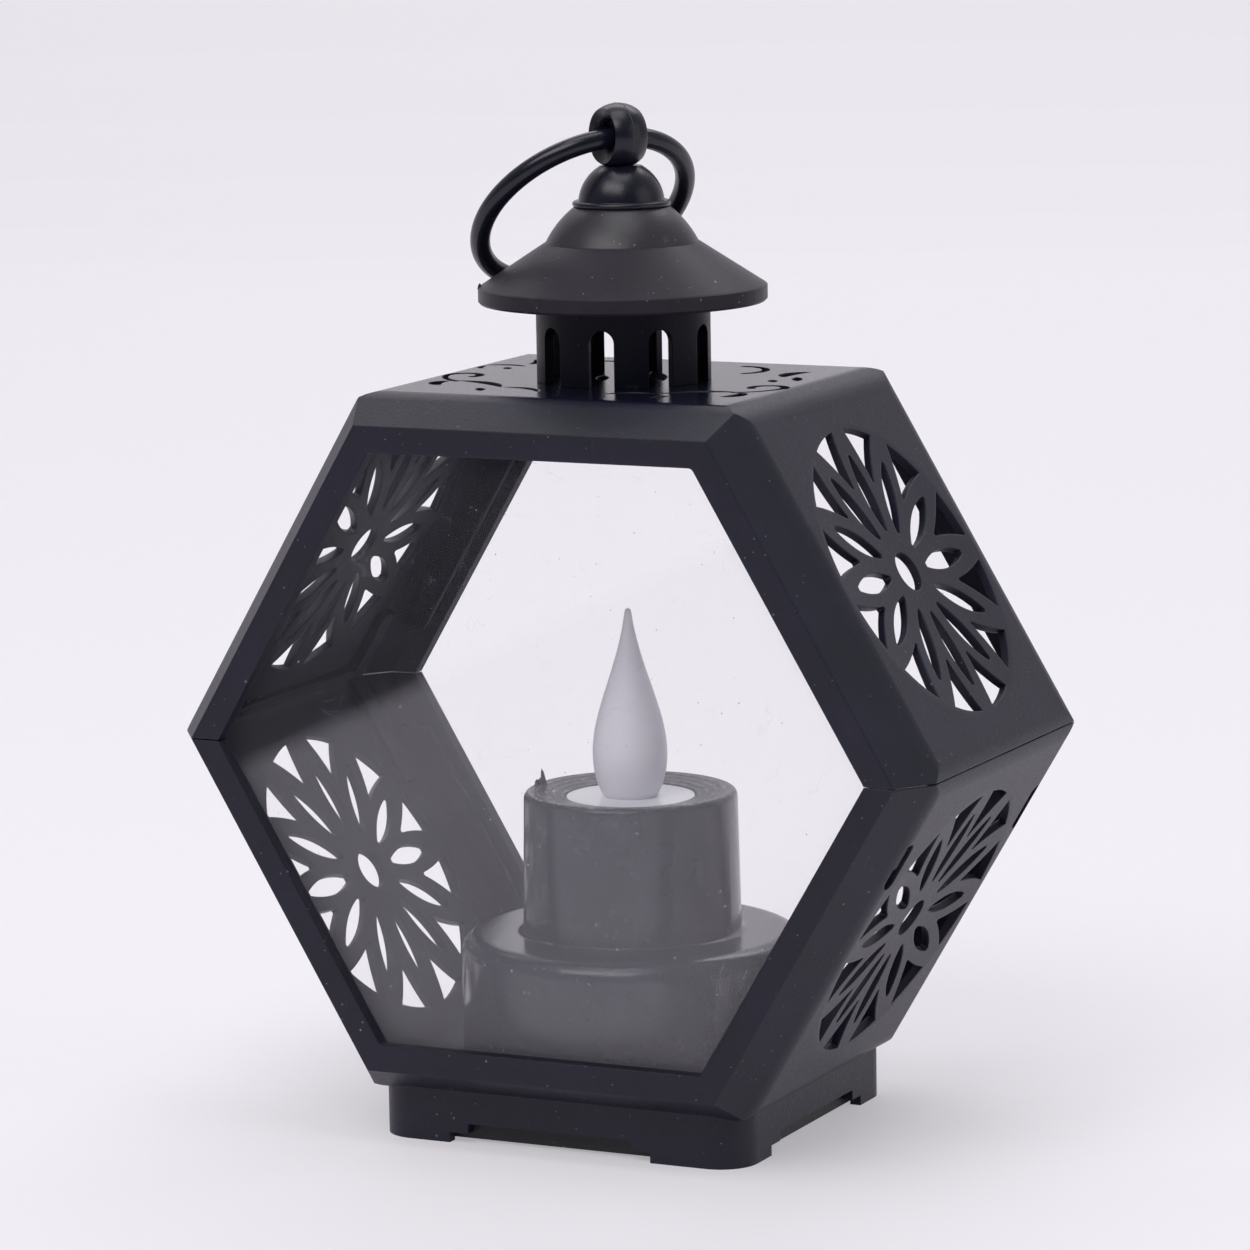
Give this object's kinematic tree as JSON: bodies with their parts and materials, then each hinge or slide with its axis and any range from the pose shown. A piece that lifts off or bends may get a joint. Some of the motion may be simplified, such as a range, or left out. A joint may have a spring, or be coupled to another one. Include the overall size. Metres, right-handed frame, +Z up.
{
  "type": "hexagonal battery lantern",
  "caption": "Small hexagonal lantern in black moulded plastic with pierced rosette sides, clear front and rear panes, a battery candle with a moulded flame, a vented roof and a swinging ring.",
  "frame": {"origin": "centre of the base, on the floor plane under the four feet", "axes": "+Z up, -Y out of the front pane, +X to the right as seen from the front"},
  "size_m": [0.1072, 0.0576, 0.1345],
  "materials": {
    "black_plastic": "moulded polystyrene, finely textured satin black",
    "candle_plastic": "moulded satin black",
    "cover_plastic": "moulded satin black with a light texture",
    "clear_pane": "clear polystyrene sheet with fine scratches",
    "white_plastic": "moulded satin white",
    "flame_plastic": "translucent milky silicone",
    "lamp_resin": "clear warm resin",
    "board": "paper-based circuit board",
    "wire_plastic": "flexible sleeving",
    "screw_steel": "zinc plated",
    "switch_steel": "tinned sheet steel",
    "slider_plastic": "moulded black",
    "cell_steel": "nickel plated",
    "contact_brass": "nickel-washed sheet"
  },
  "bodies": {
    "housing": {"upper_shell": "black_plastic", "lower_shell": "black_plastic", "front_pane": "clear_pane", "rear_pane": "clear_pane", "roof_cap": "black_plastic", "vent_collar": "black_plastic", "finial": "black_plastic", "finial_screw": "screw_steel", "candle_housing": "candle_plastic", "candle_screws": "screw_steel", "flame_disc": "white_plastic", "flame": "flame_plastic", "led": "lamp_resin", "led_board": "board", "led_wires": "wire_plastic", "bottom_cover": "cover_plastic", "cover_screws": "screw_steel", "switch_board": "board", "switch_body": "switch_steel", "button_cells": "cell_steel", "plus_contact": "contact_brass", "spring_contact": "contact_brass"},
    "ring": {"ring_handle": "black_plastic"},
    "switch": {"switch_slider": "slider_plastic"},
    "door": {"battery_door": "cover_plastic", "door_screw": "screw_steel"}
  },
  "joints": [
    {"name": "ring_swing", "type": "hinge", "parent": "housing", "child": "ring", "pos_m": [0, 0, 0.12997], "axis": [0.5693, 0.8221, 0], "range_deg": [0, 269]},
    {"name": "switch_slide", "type": "slide", "parent": "housing", "child": "switch", "axis": [1, 0, 0], "range_m": [0, 0.0025]},
    {"name": "battery_door_hinge", "type": "hinge", "parent": "housing", "child": "door", "pos_m": [-0.01115, 0.003, 0.0013], "axis": [0, 1, 0], "range_deg": [0, 80]}
  ]
}
